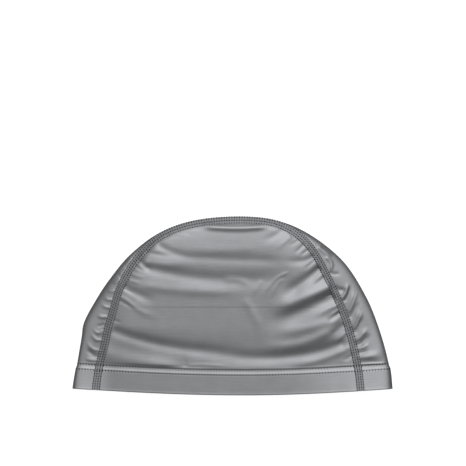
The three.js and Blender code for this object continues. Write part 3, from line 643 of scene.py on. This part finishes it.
def hem_ring(above_edge, share):
    """Points round the mouth at heights above the edge: the upper cloth, the back fold, the lower cloth
    and the front fold, each over a quarter of the shares from 0 to 1."""
    above_edge, share = np.broadcast_arrays(above_edge, share)
    place = above_edge / HEM_DEPTH
    quarter = np.floor(share * 4).astype(int) % 4
    t = share * 4 - np.floor(share * 4)
    half_turn = 2 * t
    out = np.zeros(share.shape + (3,))
    ends = {}
    for side in ("above", "below"):
        for end, at in (("front", place), ("back", LAST - place)):
            ends[side, end] = seam_point(at, side)[0]
    for k, side in ((0, "above"), (2, "below")):
        start, stop = ("front", "back") if k == 0 else ("back", "front")
        x = ends[side, start] + (ends[side, stop] - ends[side, start]) * t
        y = hem_line(x, above_edge)
        flat = np.stack([x, y, HEIGHT[side](x, y)], -1)
        out = np.where((quarter == k)[..., None], flat, out)
    for k, at, first, second in ((1, LAST - place, "above", "below"), (3, place, "below", "above")):
        rising = fold_surface(at, first, np.minimum(half_turn, 1))
        falling = fold_surface(at, second, np.minimum(2 - half_turn, 1))
        bent = np.where((half_turn <= 1)[..., None], rising, falling)
        out = np.where((quarter == k)[..., None], bent, out)
    return out


def hem_relief(above_edge, phase):
    """How far the hem stands out from the plain ring. It is proud of the panels up to its lower row, and
    just above that it falls by a soft step. Each row draws it in as a bell curve, fully at the middle of
    a stitch, by a cosine of the phase, and by a small share of that between stitches. A bell curve makes
    the roll beside the edge, and a quarter circle rounds the edge itself."""
    upper = np.exp(-(((above_edge - HEM_DEPTH) / ROW_REACH) ** 2))
    lower = np.exp(-(((above_edge - LOWER_ROW) / ROW_REACH) ** 2))
    step = 1 - smooth((above_edge - LOWER_ROW - STEP_STARTS) / STEP_REACH)
    pucker = BETWEEN_STITCHES + (1 - BETWEEN_STITCHES) * (0.5 - 0.5 * np.cos(phase))
    roll = np.exp(-(((above_edge - ROLL_AT) / ROLL_REACH) ** 2))
    edge = EDGE_ROUND * (1 - np.sqrt(1 - np.clip(1 - above_edge / EDGE_ROUND, 0, 1) ** 2))
    return HEM_PROUD * step - ROW_DEPTH * (upper + lower) * pucker + ROLL_RISE * roll - edge


def ring_shares(upper_steps, fold_steps, lower_steps):
    """Shares round the ring, with a number of steps on each of its four parts."""
    parts = [upper_steps, fold_steps, lower_steps, fold_steps]
    return np.concatenate([(k + np.arange(n) / n) / 4 for k, n in enumerate(parts)])


# The hem's grid has fine rows at its rolled edge and from just below its lower row of stitches up.
EDGE_ZONE = 0.0025
STITCH_ZONE = 0.0135
hem_rows = np.concatenate([
    np.linspace(0, EDGE_ZONE, 12)[:-1],
    np.linspace(EDGE_ZONE, STITCH_ZONE, 7)[:-1],
    np.linspace(STITCH_ZONE, HEM_DEPTH, 28),
])
shares = ring_shares(upper_steps=620, fold_steps=40, lower_steps=200)
plain_ring = hem_ring(hem_rows[:, None], shares[None])
middle_line = hem_ring(np.array((HEM_DEPTH + LOWER_ROW) / 2), shares)
ring_lengths = lengths_along(np.concatenate([middle_line, middle_line[:1]]))
stitch_count = round(ring_lengths[-1] / STITCH_PITCH)
phase = 2 * np.pi * stitch_count * ring_lengths[:-1] / ring_lengths[-1]
relief = hem_relief(hem_rows[:, None], phase[None])
ring_normals = grid_normals(plain_ring, wraps=True)
hem_points = plain_ring + ring_normals * relief[..., None]
hem_map = np.stack(np.broadcast_arrays(ring_lengths[None, :-1], hem_rows[:, None]), -1)
hem = cloth("hem_cloth", hem_points, hem_map, HEM_WALL, wraps=True)
dress(hem, coated_cloth, "coated_cloth", "hem")

# The seams
# Flatlock seams: the two panels' edges lie side by side under a band of grey thread. Four needle
# threads run along the band, and covering threads cross from one to the next like a ladder's rungs.
BAND_RISE = 0.0005
BAND_WALL = 0.0006
BAND_MIDDLE = 0.0003
NEEDLE_ROWS = (-0.00235, -0.00065, 0.00115, 0.00295)
NEEDLE_PITCH = 0.0019
NEEDLE_FILL = 0.44
NEEDLE_RADIUS = 0.00043
NEEDLE_LIFT = 0.0001
NEEDLE_ARCH = 0.0001
NEEDLE_DRAW = 0.00015
NEEDLE_DRAW_REACH = 0.0004
COVER_RADIUS = 0.0002
COVER_LIFT = 0.00012
COVER_BESIDE = 0.0002
COVER_SLANTS = (0.15, -0.2, 0.15)


def seam_surface(side, places, across):
    """The cloth's outer surface beside a seam. A distance above 0 is into the side panel, in plan, and
    one below 0 into the centre panel, measured round its fold."""
    at = section(places)[side] * CENTRE_WIDTH
    turns = np.linspace(0, 1, 41)[:, None]
    fold = fold_surface(places[None], side, turns)
    steps = np.linalg.norm(np.diff(fold, axis=0, prepend=fold[:1]), axis=-1)
    lengths = np.cumsum(steps, 0)
    rows = []
    for by in across:
        if by >= 0:
            x, y = plan_point(places, at + by)
            rows.append(np.stack([x, y, HEIGHT[side](x, y)], -1))
            continue
        after = np.clip((lengths < -by).sum(0), 1, len(turns) - 1)
        column = np.arange(len(places))
        before_length, after_length = lengths[after - 1, column], lengths[after, column]
        t = ((-by - before_length) / (after_length - before_length))[:, None]
        rows.append(fold[after - 1, column] * (1 - t) + fold[after, column] * t)
    return np.stack(rows)


def over_hem(points):
    """How far a seam's band rides out over the hem: its proud height, which steps down between its rows."""
    above_edge = points[..., 1] - hem_line(points[..., 0], 0)
    return HEM_PROUD * (1 - smooth((above_edge - LOWER_ROW) / (HEM_DEPTH - LOWER_ROW)))


def band_rise(across):
    """The band's height over the cloth: the root of one less the fourth power of the share of the way
    from its middle to its edge, drawn in as a bell curve at each needle row."""
    share = np.clip(np.abs(across - BAND_MIDDLE) / (SEAM_WIDTH / 2), 0, 1)
    rows = sum(np.exp(-(((across - row) / NEEDLE_DRAW_REACH) ** 2)) for row in NEEDLE_ROWS)
    return BAND_RISE * np.sqrt(1 - share**4) - NEEDLE_DRAW * rows


THREAD_TAPER = 0.92
THREAD_TIP = 0.08


def tubes(name, lines, normals, radius, sides=6):
    """Short threads: round each line of points circles, in the plane of the surface's normal and of the
    side, whose radius is the root of a parabola along the thread, closed by a point beyond either end."""
    count, rings = lines.shape[:2]
    along = np.gradient(lines, axis=1)
    sideways = np.cross(along, normals)
    sideways /= np.linalg.norm(sideways, axis=-1, keepdims=True)
    upward = np.cross(sideways, along)
    upward /= np.linalg.norm(upward, axis=-1, keepdims=True)
    t = np.linspace(-1, 1, rings)
    swell = radius * np.sqrt(1 - (THREAD_TAPER * t) ** 2)
    angle = np.linspace(0, 2 * np.pi, sides, endpoint=False)
    ring = sideways[:, :, None] * np.cos(angle)[:, None] + upward[:, :, None] * np.sin(angle)[:, None]
    body = lines[:, :, None] + ring * swell[:, None, None]
    first_pole = lines[:, 0] * (1 + THREAD_TIP) - lines[:, 1] * THREAD_TIP
    last_pole = lines[:, -1] * (1 + THREAD_TIP) - lines[:, -2] * THREAD_TIP
    poles = np.stack([first_pole, last_pole], 1)
    points = np.concatenate([body.reshape(count, -1, 3), poles], 1)
    quads = grid_faces(rings, sides, wraps=True).reshape(-1, 4)[:, ::-1]
    round_ring = np.arange(sides)
    next_ring = (round_ring + 1) % sides
    far = (rings - 1) * sides
    first = np.stack([round_ring, next_ring, np.full(sides, rings * sides)], -1)
    last = np.stack([far + next_ring, far + round_ring, np.full(sides, rings * sides + 1)], -1)
    start = (np.arange(count) * (rings * sides + 2))[:, None, None]
    faces = (quads[None] + start).reshape(-1, 4).tolist()
    faces += (np.concatenate([first, last])[None] + start).reshape(-1, 3).tolist()
    return put_mesh(name, points, faces)


def thread(name, dark, light, lustre):
    """Spun polyester: a fibre whose colour varies between two greys with fine noise, and whose twist is
    a fine bump. Its lustre is the share of it that shines as metal does, and a fifth of that is taken
    off its roughness."""
    material = bpy.data.materials.new(name)
    material.use_nodes = True
    tree = material.node_tree
    shader = tree.nodes["Principled BSDF"]
    shader.inputs["Metallic"].default_value = lustre
    shader.inputs["Roughness"].default_value = 0.6 - 0.2 * lustre
    shader.inputs["Sheen Weight"].default_value = 0.2
    place = tree.nodes.new("ShaderNodeTexCoord")
    fibre = tree.nodes.new("ShaderNodeTexNoise")
    fibre.inputs["Scale"].default_value = 1800
    fibre.inputs["Detail"].default_value = 3
    link(tree, place.outputs["Object"], fibre.inputs["Vector"])
    link(tree, between_greys(tree, fibre.outputs["Fac"], dark, light), shader.inputs["Base Color"])
    twist = tree.nodes.new("ShaderNodeBump")
    twist.inputs["Strength"].default_value = 0.5
    twist.inputs["Distance"].default_value = 0.00006
    link(tree, fibre.outputs["Fac"], twist.inputs["Height"])
    link(tree, twist.outputs["Normal"], shader.inputs["Normal"])
    return material


band_thread = thread("seam_band_thread", (0.43, 0.44, 0.462), (0.54, 0.55, 0.575), 0.75)
# The needle thread's near-black greys are partly the thread's own dark grey and partly painted shade of the
# needle holes round each stitch.
painted_shade_needle_thread = thread("painted_shade_needle_thread", (0.022, 0.023, 0.028), (0.05, 0.052, 0.06), 0.1)
cover_thread = thread("covering_thread", (0.5, 0.51, 0.535), (0.64, 0.65, 0.675), 0.6)


def on_band(side, places, across, lift):
    """Points on a band at each place and distance across it, and the unit normals there."""
    rows = seam_surface(side, places, across)
    normals = grid_normals(rows) * np.sign(across[1] - across[0]) * (-1 if side == "above" else 1)
    rise = over_hem(rows) + lift + np.array([band_rise(by) for by in across])[:, None]
    return rows + normals * rise[..., None], normals


def flatlock(name, side, node):
    """A seam's band of thread, with needle stitches along its rows and rungs from each row to the next."""
    length = SEAM_LENGTHS[side][-1]
    places = seam_place(side, 0, LAST, np.linspace(0, 1, 901))
    outward = -1 if side == "above" else 1
    across = BAND_MIDDLE + outward * np.linspace(-SEAM_WIDTH / 2, SEAM_WIDTH / 2, 25)
    points, _ = on_band(side, places, across, lift=0)
    along = np.linspace(0, length, len(places))
    uv = np.stack(np.broadcast_arrays(across[:, None], along[None]), -1)
    band = cloth(name + "_band", points, uv, BAND_WALL)
    dress(band, band_thread, "seam_thread", node)
    count = round(length / NEEDLE_PITCH)
    knots = 5
    step = length / count
    centres = (np.arange(count) + 0.5) * step
    share = np.linspace(-NEEDLE_FILL / 2, NEEDLE_FILL / 2, knots)
    at = (centres[:, None] + share[None] * step) / length
    stitch_places = seam_place(side, 0, LAST, at.ravel())
    stitches = on_band(side, stitch_places, np.array(NEEDLE_ROWS), NEEDLE_LIFT)
    lines, normals = (grid.reshape(-1, knots, 3) for grid in stitches)
    arch = NEEDLE_ARCH * (1 - np.linspace(-1, 1, knots) ** 2)
    needles = tubes(name + "_needle_threads", lines + normals * arch[:, None], normals, NEEDLE_RADIUS)
    dress(needles, painted_shade_needle_thread, "seam_thread")
    rungs = []
    for start, end, slant in zip(NEEDLE_ROWS, NEEDLE_ROWS[1:], COVER_SLANTS):
        for k, by in enumerate(np.linspace(start, end, knots)):
            at = (centres + (0.5 + slant * (k / (knots - 1) - 0.5)) * step) / length
            rung_places = seam_place(side, 0, LAST, np.clip(at, 0, 1))
            near = by + COVER_BESIDE * np.array([-1, 0, 1])
            rungs.append([grid[1] for grid in on_band(side, rung_places, near, COVER_LIFT)])
    rungs = np.array(rungs).reshape(len(COVER_SLANTS), knots, 2, count, 3).transpose(2, 0, 3, 1, 4)
    lines, normals = rungs[:, :, :-1].reshape(2, -1, knots, 3)
    cover = tubes(name + "_covering_threads", lines, normals, COVER_RADIUS)
    dress(cover, cover_thread, "seam_thread")
    return band, needles, cover


left_seam = flatlock("left_seam", "above", "left_seam")
right_seam = flatlock("right_seam", "below", "right_seam")

# The hem's stitches
# Two rows of stitches right round the mouth, through all the layers, whose near-black colour is partly the
# thread's own dark grey and partly painted shade of the needle holes. They pass over the seam bands, and the
# upper row marks the hem's top.
HEM_STITCH_RADIUS = 0.00055
STITCH_FILL = 0.3
STITCH_SINK = 0.0001
STITCH_ARCH = 0.00015
FOLD_SINK = 0.0004
ROW_BESIDE = 0.0005
BAND_EDGE = 0.0036
BAND_EDGE_REACH = 0.001


def stitch_row(name, above_edge):
    """Stitches along the ring at a height above the edge, each over a share of its pitch and arched as a
    parabola. They rise over the seams' bands by soft steps, and sink a little in the outer fold."""
    fine = ring_shares(upper_steps=1200, fold_steps=160, lower_steps=800)
    near = above_edge + ROW_BESIDE * np.array([-1, 0, 1])
    ring = hem_ring(near[:, None], fine[None])
    normals = grid_normals(ring, wraps=True)[1]
    ring = ring[1]
    lengths = lengths_along(np.concatenate([ring, ring[:1]]))
    over_band = np.zeros(len(ring))
    upper = normals[:, 2] > 0
    for side, facing in (("above", upper), ("below", ~upper)):
        distance, _ = nearest(SEAM_LINES[side], ring[:, 0], ring[:, 1])
        over_band += BAND_RISE * smooth((BAND_EDGE - distance) / BAND_EDGE_REACH) * facing
    level = hem_relief(above_edge, phase=0) - STITCH_SINK
    ring = ring + normals * (over_band + level - FOLD_SINK * (1 - np.abs(normals[:, 2])))[:, None]
    knots = 6
    share = np.linspace(-STITCH_FILL / 2, STITCH_FILL / 2, knots)
    at = (np.arange(stitch_count)[:, None] + 0.5 + share[None]) * (lengths[-1] / stitch_count)
    closed = np.concatenate([ring, ring[:1]])
    closed_normals = np.concatenate([normals, normals[:1]])
    lines = np.stack([np.interp(at, lengths, closed[:, k]) for k in range(3)], -1)
    ups = np.stack([np.interp(at, lengths, closed_normals[:, k]) for k in range(3)], -1)
    lines = lines + ups * (STITCH_ARCH * (1 - np.linspace(-1, 1, knots) ** 2))[None, :, None]
    row = tubes(name, lines, ups, HEM_STITCH_RADIUS)
    dress(row, painted_shade_needle_thread, "seam_thread")
    return row


upper_stitches = stitch_row("hem_upper_stitches", HEM_DEPTH)
lower_stitches = stitch_row("hem_lower_stitches", LOWER_ROW)

# The floor
# A plain white table top, lit so evenly that it is white in the picture.
TABLE_WIDTH = 8
TABLE_DROP = 0.0002
bpy.ops.mesh.primitive_plane_add(size=TABLE_WIDTH, location=(0, 0, -TABLE_DROP))
floor = bpy.context.object
floor.name = "floor"
white = bpy.data.materials.new("white_table")
white.use_nodes = True
white_shader = white.node_tree.nodes["Principled BSDF"]
white_shader.inputs["Base Color"].default_value = (0.9, 0.9, 0.9, 1)
white_shader.inputs["Roughness"].default_value = 0.8
white_shader.inputs["Emission Color"].default_value = (1, 1, 1, 1)
white_shader.inputs["Emission Strength"].default_value = 0.85
floor.data.materials.append(white)
floor.visible_glossy = False

# The light
# A broad soft light beyond the crown, weaker ones at both sides and behind, and a dim room.
world = bpy.data.worlds.new("soft_studio")
bpy.context.scene.world = world
world.use_nodes = True
tree = world.node_tree
background = tree.nodes["Background"]
background.inputs["Color"].default_value = (1, 1, 1, 1)
heading = tree.nodes.new("ShaderNodeTexCoord")


def soft_light(azimuth, elevation, strength, spread):
    """A glow round a direction: the strength times e to the power of the spread times the cosine of the
    angle from it less one."""
    a, e = np.radians(azimuth), np.radians(elevation)
    towards = tree.nodes.new("ShaderNodeVectorMath")
    towards.operation = "DOT_PRODUCT"
    towards.inputs[1].default_value = (np.cos(e) * np.cos(a), np.cos(e) * np.sin(a), np.sin(e))
    link(tree, heading.outputs["Generated"], towards.inputs[0])
    value = towards.outputs["Value"]
    steps = (("SUBTRACT", 1), ("MULTIPLY", spread), ("EXPONENT", None), ("MULTIPLY", strength))
    for operation, number in steps:
        node = tree.nodes.new("ShaderNodeMath")
        node.operation = operation
        if number is not None:
            node.inputs[1].default_value = number
        link(tree, value, node.inputs[0])
        value = node.outputs["Value"]
    return value


# Each glow's azimuth and elevation in degrees, its strength and its spread, then the room's own light.
GLOWS = ((84, 42, 1.09, 5), (-90, 42, 0.06, 4), (0, 60, 0.22, 7), (180, 58, 0.19, 6))
ROOM_LIGHT = 0.045
total = None
for glow in GLOWS:
    node = tree.nodes.new("ShaderNodeMath")
    node.operation = "ADD"
    node.inputs[1].default_value = ROOM_LIGHT
    if total is not None:
        link(tree, total, node.inputs[1])
    link(tree, soft_light(*glow), node.inputs[0])
    total = node.outputs["Value"]
link(tree, total, background.inputs["Strength"])

# The camera
# Straight above the cap, far away with a long lens, as the photograph was taken. The view is as wide
# as given at the height of the cap's outer fold.
VIEW_WIDTH = 0.3512
VIEW_HEIGHT = 0.006
CAMERA_OVER = (0.0004, 0.0545)
CAMERA_HEIGHT = 3.0
SENSOR_WIDTH = 36
camera_data = bpy.data.cameras.new("camera")
camera_data.sensor_width = SENSOR_WIDTH
camera_data.lens = SENSOR_WIDTH * (CAMERA_HEIGHT - VIEW_HEIGHT) / VIEW_WIDTH
camera = bpy.data.objects.new("camera", camera_data)
camera.location = (*CAMERA_OVER, CAMERA_HEIGHT)
bpy.context.scene.collection.objects.link(camera)
bpy.context.scene.camera = camera
bpy.context.scene.view_settings.view_transform = "Standard"
